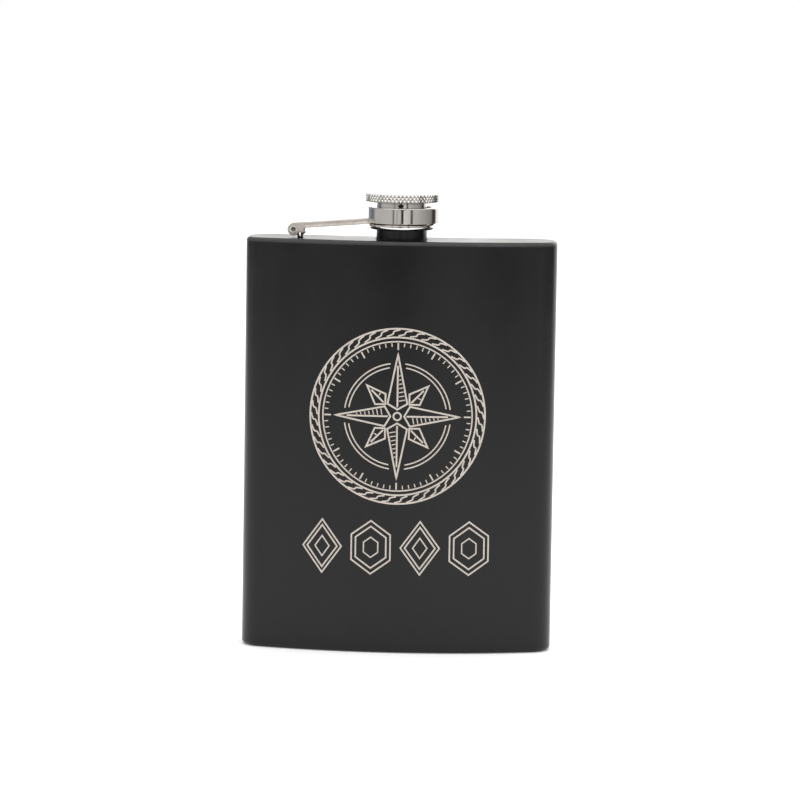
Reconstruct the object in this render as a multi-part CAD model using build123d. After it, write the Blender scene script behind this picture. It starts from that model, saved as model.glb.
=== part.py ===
"""Steel hip flask with a captive screw cap, one STEP file per piece, in millimetres.

The body is kidney-shaped in plan: a bulging front (-Y), a hollow back (+Y) and rounded narrow
sides (+-X).  It stands on the plane z = 0, with the middle of its footprint at the origin.  Every
piece is drawn about the neck's axis and moved to its place when it is written.  The cap is drawn
unscrewed and still sitting on the neck: its thread is just clear of the neck's thread, and a little
over one turn brings it down until the seal meets the neck's mouth.
"""

from build123d import *
import math
import os

# Body
BODY_WIDTH = 95.0
BODY_THICKNESS = 23.0  # front to back on the centre line
BODY_HEIGHT = 125.9
FRONT_RADIUS = 138.0
BACK_RADIUS = 225.0
FRONT_CORNER = 7.5
BACK_CORNER = 8.5
SHEET = 0.6
PAN_SKIRT = 4.0  # height of the upturned edge of the top plate and the base plate
TOP_EDGE_RADIUS = 1.25
BASE_EDGE_RADIUS = 1.6
SEAM_Y = 6.0  # where the front and back panels meet on the narrow sides

# Neck, with heights above the top plate
NECK_Y = -1.64  # the neck stands this far ahead of the footprint's middle
NECK_RADIUS = 7.7
NECK_BORE = 5.9
NECK_SHOULDER = 3.15  # top of the plain collar, where the thread begins
NECK_MOUTH = 5.15
NECK_THREAD_ROOT = 7.05
NECK_THREAD_CREST = 7.5
NECK_FLANGE_RADIUS = 10.0
NECK_FLANGE = 0.8
WELD_BEAD = 0.25
LIP_ROUND = 0.3

# Thread
PITCH = 1.25
CAP_LIFT = 1.5  # how far the cap comes down along the neck when it is screwed home
CAP_TURN = 360.0 * CAP_LIFT / PITCH
RIDGE_TURNS = 0.65
RIDGE_ROOT_WIDTH = 0.66
RIDGE_CREST_WIDTH = 0.24
RIDGE_SINK = 0.12  # how deep a ridge is rooted in its wall
CUP_RIDGE_START = 5.1
NECK_RIDGE_START = 3.6

# Cap, with heights above the top plate
CUP_RADIUS = 10.0
CUP_WALL_RADIUS = 9.5  # above the bead
CUP_BOTTOM = 3.05
CUP_TOP = 8.8
CUP_ROOF = 0.8
CUP_LEAD_IN = 8.0
CUP_LEAD_IN_TOP = 4.8
CUP_BORE = 7.7
CUP_THREAD_CREST = 7.2
CUP_BEAD = 2.05  # height of the rolled bead round the cup's foot
CUP_BEAD_ROUND = 0.95
SEAL_RADIUS = 7.55
SEAL_THICKNESS = 1.3
HEAD_RADIUS = 11.2
HEAD_BOTTOM = 11.45
HEAD_RIM = 2.55
HEAD_CROWN = 0.4
HEAD_EDGE = 0.2
RIVET_RADIUS = 1.6
RIVET_HEAD_RADIUS = 3.0
RIVET_TOP = 12.4

# Arm, with heights above the top plate
RING_SHIFT = 0.65  # the ring hangs loose on the stem, this far from the neck's axis
RING_RADIUS = 11.0
RING_WALL = 0.6
RING_BOTTOM = 5.2
RING_TOP = 9.9
RING_FLANGE = 0.8
RING_HOLE = 8.5
RING_ROUND = 0.5
PIN_X = -32.9
PIN_HEIGHT = 2.5
PIN_RADIUS = 0.8
PIN_CLEARANCE = 0.04
PIN_ROLL_RADIUS = 0.95  # middle of the rolled rim at each end of the pin
PIN_ROLL = 0.28
STRAP_WIDTH = 5.2
STRAP_THICKNESS = 1.6
STRAP_END_TOP = 6.2  # top of the strap where it meets the ring
EAR_RADIUS = 1.85
EAR_THICKNESS = 0.8
LOBE_RADIUS = 0.75
LOBE_OFFSET = 2.5
LOBE_DROP = 0.35  # how far the lobe's middle lies below the pin's
WEB_START = 2.4  # distance from the pin at which the strap's web begins

# Hinge lug
LUG_WIDTH = 3.2
LUG_STRIP = 0.55
LUG_LEAN = 0.4  # how far the leg leans towards the neck on its way down
LUG_FOOT_LENGTH = 1.55
LUG_FOOT = 0.4
CRADLE_GAP = 0.08  # between the strap's lobe and the cradle that curls under it
CRADLE_STRIP = 0.4
CRADLE_START = -110.0
CRADLE_END = -20.0


def body_outline(inset):
    """The body's plan outline, drawn in by inset."""
    half_width = BODY_WIDTH / 2
    front_apex = -BODY_THICKNESS / 2
    back_apex = BODY_THICKNESS / 2
    front_side = front_apex + FRONT_RADIUS - math.sqrt(FRONT_RADIUS**2 - half_width**2)
    back_side = back_apex + BACK_RADIUS - math.sqrt(BACK_RADIUS**2 - half_width**2)
    front = ThreePointArc((-half_width, front_side), (0, front_apex), (half_width, front_side))
    right = Line((half_width, front_side), (half_width, back_side))
    back = ThreePointArc((half_width, back_side), (0, back_apex), (-half_width, back_side))
    left = Line((-half_width, back_side), (-half_width, front_side))
    outline = make_face([front, right, back, left])
    corners = outline.vertices().sort_by(Axis.Y)
    outline = fillet(corners[:2], FRONT_CORNER)
    sharp = [v for v in outline.vertices() if abs(v.Y - back_side) < 0.01]
    outline = fillet(sharp, BACK_CORNER)
    return offset(outline, -inset) if inset else outline


def slab(inset, low, high):
    """The body's outline as a solid between two heights."""
    return Pos(0, 0, low) * extrude(body_outline(inset), high - low)


def ring(outer, inner, low, high):
    """A tube about the neck's axis."""
    body = Pos(0, 0, low) * Cylinder(outer, high - low, align=(Align.CENTER, Align.CENTER, Align.MIN))
    hole = Pos(0, 0, low) * Cylinder(inner, high - low, align=(Align.CENTER, Align.CENTER, Align.MIN))
    return body - hole


def disc(radius, low, high):
    """A solid cylinder about the neck's axis."""
    return Pos(0, 0, low) * Cylinder(radius, high - low, align=(Align.CENTER, Align.CENTER, Align.MIN))


def dome(radius, height):
    """A shallow spherical cap standing on the plane z = 0."""
    ball = (radius**2 + height**2) / (2 * height)
    below = Box(4 * ball, 4 * ball, 4 * ball, align=(Align.CENTER, Align.CENTER, Align.MAX))
    return Pos(0, 0, height - ball) * Sphere(ball) - below


def round_rim(part, height, radius, amount):
    """Rounds the circular edge of that radius about the neck's axis, at that height."""
    edges = [
        e
        for e in part.edges().filter_by(GeomType.CIRCLE)
        if abs(e.radius - radius) < 1e-3 and abs(e.center().Z - height) < 1e-3
    ]
    return fillet(edges, amount)


def thread_ridge(root, crest, start_height, start_angle):
    """A right-handed helical ridge with its root in a wall of radius root."""
    height = PITCH * RIDGE_TURNS
    path = Helix(pitch=PITCH, height=height, radius=root)
    sink = RIDGE_SINK if root < crest else -RIDGE_SINK
    outline = Polygon(
        (-sink, -RIDGE_ROOT_WIDTH / 2),
        (crest - root, -RIDGE_CREST_WIDTH / 2),
        (crest - root, RIDGE_CREST_WIDTH / 2),
        (-sink, RIDGE_ROOT_WIDTH / 2),
        align=None,
    )
    section = Plane(origin=path @ 0, x_dir=(1, 0, 0), z_dir=path % 0) * outline
    ridge = sweep(section, path=path, is_frenet=True)
    return Pos(0, 0, BODY_HEIGHT + start_height) * Rot(0, 0, start_angle) * ridge


def sleeve():
    """Front and back panels together, between the two pans."""
    low = PAN_SKIRT
    high = BODY_HEIGHT - PAN_SKIRT
    return slab(0, low, high) - slab(SHEET, low, high)


def front_panel():
    cut = Pos(0, SEAM_Y, BODY_HEIGHT / 2) * Box(
        2 * BODY_WIDTH, 2 * BODY_WIDTH, 2 * BODY_HEIGHT, align=(Align.CENTER, Align.MIN, Align.CENTER)
    )
    return sleeve() - cut


def back_panel():
    cut = Pos(0, SEAM_Y, BODY_HEIGHT / 2) * Box(
        2 * BODY_WIDTH, 2 * BODY_WIDTH, 2 * BODY_HEIGHT, align=(Align.CENTER, Align.MAX, Align.CENTER)
    )
    return sleeve() - cut


def pan(edge_radius):
    """A shallow tray with a flat floor at z = 0, open upwards."""
    outside = slab(0, 0, PAN_SKIRT)
    outside = fillet(outside.faces().sort_by(Axis.Z)[0].edges(), edge_radius)
    inside = slab(SHEET, SHEET, PAN_SKIRT)
    inside = fillet(inside.faces().sort_by(Axis.Z)[0].edges(), edge_radius - SHEET)
    return outside - inside


def base_plate():
    return pan(BASE_EDGE_RADIUS)


def top_plate():
    plate = Pos(0, 0, BODY_HEIGHT) * mirror(pan(TOP_EDGE_RADIUS), Plane.XY)
    return plate - disc(NECK_RADIUS, BODY_HEIGHT - 2 * SHEET, BODY_HEIGHT + SHEET)


def neck_spout():
    """Threaded tube with a flange under the top plate and a weld bead on it."""
    under_plate = BODY_HEIGHT - SHEET
    bottom = under_plate - NECK_FLANGE
    shoulder = BODY_HEIGHT + NECK_SHOULDER
    mouth = BODY_HEIGHT + NECK_MOUTH
    tube = disc(NECK_FLANGE_RADIUS, bottom, under_plate)
    tube += disc(NECK_RADIUS, under_plate, shoulder)
    tube += disc(NECK_THREAD_ROOT, shoulder, mouth)
    tube = round_rim(tube, shoulder, NECK_RADIUS, LIP_ROUND)
    tube = round_rim(tube, mouth, NECK_THREAD_ROOT, LIP_ROUND)
    bead = Pos(0, 0, BODY_HEIGHT) * Cone(
        NECK_RADIUS + WELD_BEAD, NECK_RADIUS, WELD_BEAD, align=(Align.CENTER, Align.CENTER, Align.MIN)
    )
    tube += bead
    tube -= disc(NECK_BORE, bottom, mouth)
    tube = round_rim(tube, mouth, NECK_BORE, LIP_ROUND)
    return tube + thread_ridge(NECK_THREAD_ROOT, NECK_THREAD_CREST, NECK_RIDGE_START, 180.0)


def hinge_axis():
    return Pos(PIN_X, 0, BODY_HEIGHT + PIN_HEIGHT)


def profile_solid(face, width):
    """A face drawn in X and Z, made width thick and centred on Y."""
    return extrude(Plane.XZ * face, width / 2, both=True)


def lobe_cradle():
    """The lug's far end: a stalk from the foot, curled under the strap's lobe."""
    inner = LOBE_RADIUS + CRADLE_GAP
    outer = inner + CRADLE_STRIP
    turns = [math.radians(a) for a in (CRADLE_START, (CRADLE_START + CRADLE_END) / 2, CRADLE_END)]
    corners = [(2 * outer * math.cos(t), 2 * outer * math.sin(t)) for t in turns]
    curl = (Circle(outer) - Circle(inner)) & Polygon((0, 0), *corners, align=None)
    rise = PIN_HEIGHT - LOBE_DROP - inner - CRADLE_STRIP / 2
    stalk = Pos(LOBE_OFFSET, -PIN_HEIGHT) * Rectangle(LUG_STRIP, rise, align=(Align.CENTER, Align.MIN))
    return stalk + Pos(LOBE_OFFSET, -LOBE_DROP) * curl


def hinge_lug():
    """A strip curled round the pin, with a leg, a welded foot and a cradle for the strap's lobe."""
    hole = PIN_RADIUS + PIN_CLEARANCE
    outer = hole + LUG_STRIP
    leg = Polygon(
        (outer, 0),
        (outer + LUG_LEAN, -PIN_HEIGHT),
        (hole + LUG_LEAN, -PIN_HEIGHT),
        (hole, 0),
        align=None,
    )
    foot = Rectangle(LUG_FOOT_LENGTH, LUG_FOOT, align=(Align.MIN, Align.MIN))
    foot = Pos(hole + LUG_LEAN, -PIN_HEIGHT) * foot
    outline = (Circle(outer) + leg + foot + lobe_cradle()) - Circle(hole)
    return hinge_axis() * profile_solid(outline, LUG_WIDTH)


def hinge_pin():
    """Tubular rivet through the arm's ears, with a rolled rim at each end."""
    shank = Rot(90, 0, 0) * Cylinder(PIN_RADIUS, STRAP_WIDTH)
    side = 4 * PIN_ROLL_RADIUS
    buried = Box(side, side, side, align=(Align.CENTER, Align.CENTER, Align.MAX))
    roll = Torus(PIN_ROLL_RADIUS, PIN_ROLL) - buried
    roll += Cylinder(PIN_ROLL_RADIUS, PIN_ROLL / 4, align=(Align.CENTER, Align.CENTER, Align.MIN))
    head = Pos(0, 0, STRAP_WIDTH / 2) * roll
    return hinge_axis() * (shank + Rot(90, 0, 0) * head + Rot(-90, 0, 0) * head)


def strap_slope():
    """Rise of the strap per millimetre from the pin to the ring."""
    reach = RING_SHIFT - PIN_X - RING_RADIUS
    return (STRAP_END_TOP - PIN_HEIGHT - EAR_RADIUS) / reach


def arm_strap():
    """Flat strap, coped to the ring at one end and forked into two ears at the other."""
    reach = -PIN_X
    slope = strap_slope()
    top = EAR_RADIUS
    bar = Polygon(
        (0, top),
        (0, top - STRAP_THICKNESS),
        (reach, top - STRAP_THICKNESS + slope * reach),
        (reach, top + slope * reach),
        align=None,
    )
    lobe_top = top - STRAP_THICKNESS / 2 + slope * LOBE_OFFSET
    lobe = Pos(LOBE_OFFSET, -LOBE_DROP) * Circle(LOBE_RADIUS)
    stalk = Rectangle(2 * LOBE_RADIUS, lobe_top + LOBE_DROP, align=(Align.CENTER, Align.MIN))
    lobe += Pos(LOBE_OFFSET, -LOBE_DROP) * stalk
    side = bar + Circle(EAR_RADIUS) + lobe
    strap = profile_solid(side, STRAP_WIDTH)
    fork = profile_solid(Rectangle(2 * WEB_START, 4 * EAR_RADIUS), STRAP_WIDTH - 2 * EAR_THICKNESS)
    under = Polygon(
        (0, top - STRAP_THICKNESS),
        (0, -2 * EAR_RADIUS),
        (reach, -2 * EAR_RADIUS),
        (reach, top - STRAP_THICKNESS + slope * reach),
        align=None,
    )
    strap = strap - fork - profile_solid(under, STRAP_WIDTH - 2 * EAR_THICKNESS)
    strap -= Rot(90, 0, 0) * Cylinder(PIN_RADIUS, 2 * STRAP_WIDTH)
    coping = disc(RING_RADIUS, BODY_HEIGHT, BODY_HEIGHT + RING_TOP + STRAP_WIDTH)
    return hinge_axis() * strap - Pos(RING_SHIFT, 0, 0) * coping


def arm_ring():
    """Band round the cap with an inward flange that the cap's stem passes through."""
    low = BODY_HEIGHT + RING_BOTTOM
    high = BODY_HEIGHT + RING_TOP
    band = ring(RING_RADIUS, RING_RADIUS - RING_WALL, low, high)
    flange = ring(RING_RADIUS - RING_WALL, RING_HOLE, high - RING_FLANGE, high)
    return Pos(RING_SHIFT, 0, 0) * round_rim(band + flange, high, RING_RADIUS, RING_ROUND)


def cap_cup():
    """Threaded cup that screws on the neck, with a rolled bead round its foot."""
    low = BODY_HEIGHT + CUP_BOTTOM
    high = BODY_HEIGHT + CUP_TOP
    roof = high - CUP_ROOF
    bead = disc(CUP_RADIUS, low, low + CUP_BEAD)
    bead = fillet(bead.edges().filter_by(GeomType.CIRCLE), CUP_BEAD_ROUND)
    cup = disc(CUP_WALL_RADIUS, low + CUP_BEAD / 2, high)
    cup = round_rim(cup, high, CUP_WALL_RADIUS, LIP_ROUND) + bead
    cup -= disc(CUP_LEAD_IN, low, BODY_HEIGHT + CUP_LEAD_IN_TOP)
    cup -= disc(CUP_BORE, low, roof)
    cup -= Pos(0, 0, roof) * Cone(
        RIVET_HEAD_RADIUS, RIVET_RADIUS, CUP_ROOF, align=(Align.CENTER, Align.CENTER, Align.MIN)
    )
    return cup + thread_ridge(CUP_BORE, CUP_THREAD_CREST, CUP_RIDGE_START, CAP_TURN)


def cap_rivet():
    """Countersunk rivet that holds the cup to the head's stem."""
    roof = BODY_HEIGHT + CUP_TOP - CUP_ROOF
    head = Pos(0, 0, roof) * Cone(
        RIVET_HEAD_RADIUS, RIVET_RADIUS, CUP_ROOF, align=(Align.CENTER, Align.CENTER, Align.MIN)
    )
    return head + disc(RIVET_RADIUS, BODY_HEIGHT + CUP_TOP, BODY_HEIGHT + RIVET_TOP)


def cap_seal():
    """Soft disc in the cup's roof that closes the neck's mouth."""
    roof = BODY_HEIGHT + CUP_TOP - CUP_ROOF
    return disc(SEAL_RADIUS, roof - SEAL_THICKNESS, roof)


def cap_head():
    """Round grip with a slightly crowned top, on the stem that runs in the arm's ring."""
    rim_low = BODY_HEIGHT + HEAD_BOTTOM
    rim_high = rim_low + HEAD_RIM
    rim = disc(HEAD_RADIUS, rim_low, rim_high)
    rim = chamfer(rim.edges().filter_by(GeomType.CIRCLE), HEAD_EDGE)
    head = rim + Pos(0, 0, rim_high) * dome(HEAD_RADIUS - HEAD_EDGE, HEAD_CROWN)
    head += disc(NECK_RADIUS, BODY_HEIGHT + CUP_TOP, rim_low)
    return head - disc(RIVET_RADIUS, BODY_HEIGHT + CUP_TOP, BODY_HEIGHT + RIVET_TOP)


PARTS = {
    "front_panel": front_panel,
    "back_panel": back_panel,
    "base_plate": base_plate,
    "top_plate": top_plate,
    "neck_spout": neck_spout,
    "hinge_lug": hinge_lug,
    "hinge_pin": hinge_pin,
    "arm_strap": arm_strap,
    "arm_ring": arm_ring,
    "cap_head": cap_head,
    "cap_rivet": cap_rivet,
    "cap_cup": cap_cup,
    "cap_seal": cap_seal,
}

os.makedirs("parts", exist_ok=True)
for name, make in PARTS.items():
    export_step(Pos(0, NECK_Y, 0) * make(), f"parts/{name}.step")
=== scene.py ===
"""A matte black steel hip flask with a captive screw cap, dressed for a plain white studio.

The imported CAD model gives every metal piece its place.  This script dresses those pieces, rolls the
knurl on the cap's head, forges the strap, lays the neck's weld bead and the etched ornament, and sets
up the studio.  Lengths are in metres, and angles in degrees unless a comment says otherwise.  The
bulging front faces -Y and the strap's hinge is at -X.
"""

import logging
import math
from collections.abc import Iterable, Sequence
from dataclasses import dataclass, field
from enum import Enum

import bpy
from mathutils import Matrix, Vector


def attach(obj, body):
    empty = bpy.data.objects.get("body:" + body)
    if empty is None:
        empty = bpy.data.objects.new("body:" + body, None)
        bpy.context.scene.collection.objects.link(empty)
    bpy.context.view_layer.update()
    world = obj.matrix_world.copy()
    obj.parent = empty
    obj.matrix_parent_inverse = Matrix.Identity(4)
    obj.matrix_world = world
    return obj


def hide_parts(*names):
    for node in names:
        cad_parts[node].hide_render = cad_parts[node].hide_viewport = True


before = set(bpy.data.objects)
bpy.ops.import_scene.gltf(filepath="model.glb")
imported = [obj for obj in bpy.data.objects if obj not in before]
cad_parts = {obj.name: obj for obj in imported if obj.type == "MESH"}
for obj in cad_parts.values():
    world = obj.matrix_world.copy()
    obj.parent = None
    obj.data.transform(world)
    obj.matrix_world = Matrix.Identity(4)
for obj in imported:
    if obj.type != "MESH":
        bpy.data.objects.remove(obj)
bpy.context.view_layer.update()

LOG = logging.getLogger("hip_flask")
MM = 0.001
TAU = 2.0 * math.pi

PLATE = 125.9 * MM  # height of the top plate
AXIS_Y = -1.64 * MM  # the neck's axis
RIM_RISE = 14.0 * MM  # the knurled rim's top above the top plate
RIM_TOP = PLATE + RIM_RISE
MITRE_LIMIT = 0.5  # the inset at a plate's corner is at most its edges' inset over this

Colour = tuple[float, float, float]
Point2 = tuple[float, float]
Point3 = tuple[float, float, float]

PIN: Point2 = (-32.9 * MM, PLATE + 2.5 * MM)  # the hinge pin's middle, in X and Z


# ---------------------------------------------------------------------------------------------
# Node graphs
# ---------------------------------------------------------------------------------------------


class Graph:
    """A material's or a world's node tree, with short ways to add and join nodes."""

    def __init__(self, tree: bpy.types.NodeTree) -> None:
        """Empties the tree.

        Args:
            tree: the node tree to build in.
        """
        self.tree = tree
        tree.nodes.clear()

    def add(
        self, kind: str, settings: dict[str, object] | None = None, **inputs: object
    ) -> bpy.types.Node:
        """Adds a node.

        Args:
            kind: the node's type name.
            settings: the node's own properties.
            inputs: input values or output sockets, by input name with underscores for spaces.

        Returns:
            The new node.
        """
        node = self.tree.nodes.new(kind)
        for key, value in (settings or {}).items():
            setattr(node, key, value)
        for key, value in inputs.items():
            socket = self.socket(node, key.replace("_", " "))
            if isinstance(value, bpy.types.NodeSocket):
                self.tree.links.new(value, socket)
            else:
                socket.default_value = value
        return node

    @staticmethod
    def socket(node: bpy.types.Node, name: str) -> bpy.types.NodeSocket:
        """Finds an input by name, or by position where the name is a number.

        Args:
            node: the node to look in.
            name: the input's name, or "i" and its position.

        Returns:
            The input socket.
        """
        if name.startswith("i") and name[1:].isdigit():
            return node.inputs[int(name[1:])]
        for socket in node.inputs:
            if socket.name.lower() == name.lower():
                return socket
        raise KeyError(f"{node.bl_idname} has no input {name}")

    def math(self, operation: str, *values: object) -> bpy.types.NodeSocket:
        """Adds a Math node.

        Args:
            operation: the node's operation.
            values: its inputs, as numbers or sockets.

        Returns:
            The result.
        """
        inputs = {f"i{n}": value for n, value in enumerate(values)}
        return self.add("ShaderNodeMath", {"operation": operation}, **inputs).outputs[0]

    def object_space(self, scale: Sequence[float] = (1.0, 1.0, 1.0)) -> bpy.types.NodeSocket:
        """Gives the piece's own coordinates.

        Args:
            scale: how much each axis is stretched.

        Returns:
            The coordinates.
        """
        place = self.add("ShaderNodeTexCoord").outputs["Object"]
        return self.add("ShaderNodeMapping", Vector=place, Scale=scale).outputs[0]

    def axes(self) -> tuple[bpy.types.NodeSocket, ...]:
        """Gives the piece's own coordinates, one axis at a time."""
        return tuple(self.add("ShaderNodeSeparateXYZ", Vector=self.object_space()).outputs)

    def noise(
        self, grain: float, detail: float = 2.0, stretch: Sequence[float] = (1.0, 1.0, 1.0)
    ) -> bpy.types.NodeSocket:
        """Adds a noise texture.

        Args:
            grain: the size of its spots, in metres.
            detail: how many finer layers it has.
            stretch: how much finer it is along each axis.

        Returns:
            The noise, from 0 to 1.
        """
        space = self.object_space(stretch)
        node = self.add("ShaderNodeTexNoise", Vector=space, Scale=1.0 / grain, Detail=detail)
        return node.outputs[0]

    def span(
        self,
        value: bpy.types.NodeSocket,
        low: float = 0.0,
        high: float = 1.0,
        start: float = 0.3,
        stop: float = 0.7,
    ) -> bpy.types.NodeSocket:
        """Maps a value from one range to another and holds it there.

        Args:
            value: the value to map.
            low: the result at start.
            high: the result at stop.
            start: the first end of the value's range.
            stop: the other end of it.

        Returns:
            The mapped value.
        """
        node = self.add("ShaderNodeMapRange", i0=value, i1=start, i2=stop, i3=low, i4=high)
        return node.outputs[0]

    def product(self, *values: bpy.types.NodeSocket) -> bpy.types.NodeSocket:
        """Multiplies values.

        Args:
            values: what is multiplied.

        Returns:
            The product.
        """
        result = values[0]
        for value in values[1:]:
            result = self.math("MULTIPLY", result, value)
        return result

    def hypotenuse(
        self, first: bpy.types.NodeSocket, second: bpy.types.NodeSocket
    ) -> bpy.types.NodeSocket:
        """Gives the distance that has these two parts at right angles."""
        squares = [self.math("POWER", part, 2.0) for part in (first, second)]
        return self.math("SQRT", self.math("ADD", *squares))

    def blend(
        self, share: bpy.types.NodeSocket, first: Colour, second: Colour
    ) -> bpy.types.NodeSocket:
        """Mixes two colours.

        Args:
            share: how much of the second colour there is.
            first: the colour at 0.
            second: the colour at 1.

        Returns:
            The mixed colour.
        """
        ramp = self.add("ShaderNodeValToRGB", i0=share)
        ramp.color_ramp.elements[0].color = (*first, 1.0)
        ramp.color_ramp.elements[1].color = (*second, 1.0)
        return ramp.outputs[0]

    def paint(
        self, share: bpy.types.NodeSocket, under: bpy.types.NodeSocket, over: Colour
    ) -> bpy.types.NodeSocket:
        """Lays a plain colour over another.

        Args:
            share: how much of the upper colour there is.
            under: the lower colour.
            over: the upper colour.

        Returns:
            The colour that shows.
        """
        settings = {"data_type": "RGBA"}
        return self.add("ShaderNodeMix", settings, i0=share, i6=under, i7=(*over, 1.0)).outputs[2]

    def bump(
        self, height: bpy.types.NodeSocket, depth: float, strength: float = 1.0
    ) -> bpy.types.NodeSocket:
        """Turns a height into a surface normal.

        Args:
            height: the height, from 0 to 1.
            depth: how deep 1 is, in metres.
            strength: how much of it shows.

        Returns:
            The normal.
        """
        node = self.add("ShaderNodeBump", Height=height, Distance=depth, Strength=strength)
        return node.outputs[0]

    def surface(self, **inputs: object) -> None:
        """Adds a material's shader and its output.

        Args:
            inputs: the shader's values or sockets, by input name with underscores for spaces.
        """
        shader = self.add("ShaderNodeBsdfPrincipled", **inputs)
        self.add("ShaderNodeOutputMaterial", Surface=shader.outputs[0])


# ---------------------------------------------------------------------------------------------
# Finishes
# ---------------------------------------------------------------------------------------------


MADE: dict[str, bpy.types.Material] = {}  # the materials made so far, by finish name


@dataclass(frozen=True)
class Finish:
    """What every finish shares: a name and a way to make its material."""

    name: str

    def fill(self, graph: Graph) -> None:
        """Builds the finish's nodes in the graph."""
        raise NotImplementedError

    def make(self) -> bpy.types.Material:
        """Makes the material, or gives the one that was made before.

        Returns:
            The material.
        """
        if self.name not in MADE:
            material = bpy.data.materials.new(self.name)
            material.use_nodes = True
            self.fill(Graph(material.node_tree))
            MADE[self.name] = material
        return MADE[self.name]

    def dress(self, *pieces: bpy.types.Object) -> None:
        """Puts the finish on every slot of the pieces.

        Args:
            pieces: the objects to dress.
        """
        material = self.make()
        for piece in pieces:
            if not piece.material_slots:
                piece.data.materials.append(material)
            for slot in piece.material_slots:
                slot.material = material


@dataclass(frozen=True)
class PowderCoat(Finish):
    """Matte black powder baked on steel, with the coat's fine orange peel."""

    name: str = "powder_coat"
    deep: Colour = (0.0012, 0.0012, 0.0014)
    worn: Colour = (0.0029, 0.0029, 0.0032)
    # the colour of the painted highlight on a rounded edge
    rubbed: Colour = (0.046, 0.046, 0.046)
    roughness: float = 0.25
    ior: float = 1.39
    cloud: float = 14.0 * MM  # the width of the patches that hands leave
    cloud_gloss: Point2 = (-0.035, 0.035)  # how far they change the roughness
    peel: float = 0.55 * MM
    grain: float = 0.13 * MM
    grain_gloss: Point2 = (-0.03, 0.03)
    grain_share: float = 0.45  # the grain's height against the peel's
    relief: float = 0.006 * MM
    relief_strength: float = 0.5
    edge: Point2 | None = None  # the heights between which a rounded edge gets a painted highlight
    edge_start: Point2 = (-0.25 * MM, 0.20 * MM)  # where the painted highlight sets in, about the lower height
    edge_stop: Point2 = (-0.12 * MM, -0.02 * MM)  # and where it fades, about the upper one
    patch: float = 1.8 * MM
    patch_share: Point2 = (0.8, 1.0)  # how much of the painted highlight its patches keep

    def rub(self, graph: Graph, tone: bpy.types.NodeSocket) -> bpy.types.NodeSocket:
        """Paints a patchy highlight on a rounded edge that lies between two heights.

        Args:
            graph: where the nodes go.
            tone: the coat's own colour.

        Returns:
            The colour with the painted highlight on the edge in it.
        """
        if self.edge is None:
            return tone
        up = graph.axes()[2]
        low, high = self.edge
        below = graph.span(up, 0.0, 1.0, *(low + step for step in self.edge_start))
        above = graph.span(up, 1.0, 0.0, *(high + step for step in self.edge_stop))
        patchy = graph.span(graph.noise(self.patch, 3.0), *self.patch_share)
        # a patchy painted highlight between the two heights
        return graph.paint(graph.product(below, above, patchy), tone, self.rubbed)

    def fill(self, graph: Graph) -> None:
        """Mottles the colour, varies the gloss in the patches that hands leave, paints the highlight
        on an edge where one is set, and raises the peel and the grain.

        Args:
            graph: where the nodes go.
        """
        cloud = graph.noise(self.cloud, 3.0)
        peel = graph.noise(self.peel)
        grain = graph.noise(self.grain)
        patches = graph.span(cloud, *self.cloud_gloss)
        gloss = graph.math("ADD", patches, graph.span(grain, *self.grain_gloss))
        relief = graph.math("ADD", peel, graph.math("MULTIPLY", grain, self.grain_share))
        tone = graph.blend(graph.span(cloud), self.deep, self.worn)
        graph.surface(
            Base_Color=self.rub(graph, tone),
            Roughness=graph.math("ADD", gloss, self.roughness),
            IOR=self.ior,
            Normal=graph.bump(relief, self.relief, self.relief_strength),
        )


@dataclass(frozen=True)
class PolishedMetal(Finish):
    """Bright metal with smudges, the fine lines that turning or brushing leaves, and painted shade
    where a knurl's grooves are set.
    """

    name: str = "turned_chrome"
    clean: Colour = (0.78, 0.76, 0.73)
    dull: Colour = (0.68, 0.655, 0.625)
    # the colour of the painted shade
    shade_tone: Colour = (0.30, 0.28, 0.26)
    roughness: float = 0.085
    smudge: float = 3.5 * MM
    smudge_gloss: Point2 = (-0.03, 0.06)  # how far a smudge changes the roughness
    speck: float = 0.25 * MM
    speck_gloss: Point2 = (-0.01, 0.02)
    line: float = 0.09 * MM
    line_depth: float = 0.0006 * MM
    line_run: Point3 = (0.02, 0.02, 1.0)  # how fine the lines are along each axis
    groove: Point2 | None = None  # a knurl's radii where the painted shade in its grooves begins to thin, and ends
    groove_share: float = 0.9
    band: Point2 = (-0.25 * MM, -0.20 * MM)  # the painted shade's inner limit, about the first of them
    band_top: Point2 = (-0.22 * MM, -0.12 * MM)  # and its upper one, about the rim's top

    def painted_shade(self, graph: Graph, tone: bpy.types.NodeSocket) -> bpy.types.NodeSocket:
        """Paints shade into the bottoms of the knurl's grooves, where there is a knurl.

        Args:
            graph: where the nodes go.
            tone: the clean colour.

        Returns:
            The colour with the painted shade in it.
        """
        if self.groove is None:
            return tone
        across, along, up = graph.axes()
        radius = graph.hypotenuse(across, graph.math("SUBTRACT", along, AXIS_Y))
        deep = graph.span(radius, self.groove_share, 0.0, *self.groove)
        rim = graph.span(radius, 0.0, 1.0, *(self.groove[0] + step for step in self.band))
        side = graph.span(up, 1.0, 0.0, *(RIM_TOP + step for step in self.band_top))
        # painted shade in the groove bottoms, only on the knurled band
        return graph.paint(graph.product(deep, rim, side), tone, self.shade_tone)

    def fill(self, graph: Graph) -> None:
        """Smudges the gloss and draws the tool's lines as a faint relief.

        Args:
            graph: where the nodes go.
        """
        smudge = graph.noise(self.smudge, 4.0)
        speck = graph.noise(self.speck)
        lines = graph.noise(self.line, 1.0, self.line_run)
        smears = graph.span(smudge, *self.smudge_gloss)
        gloss = graph.math("ADD", smears, graph.span(speck, *self.speck_gloss))
        tone = graph.blend(graph.span(smudge), self.clean, self.dull)
        graph.surface(
            Base_Color=self.painted_shade(graph, tone),
            Metallic=1.0,
            Roughness=graph.math("ADD", gloss, self.roughness),
            Normal=graph.bump(lines, self.line_depth),
        )


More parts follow.
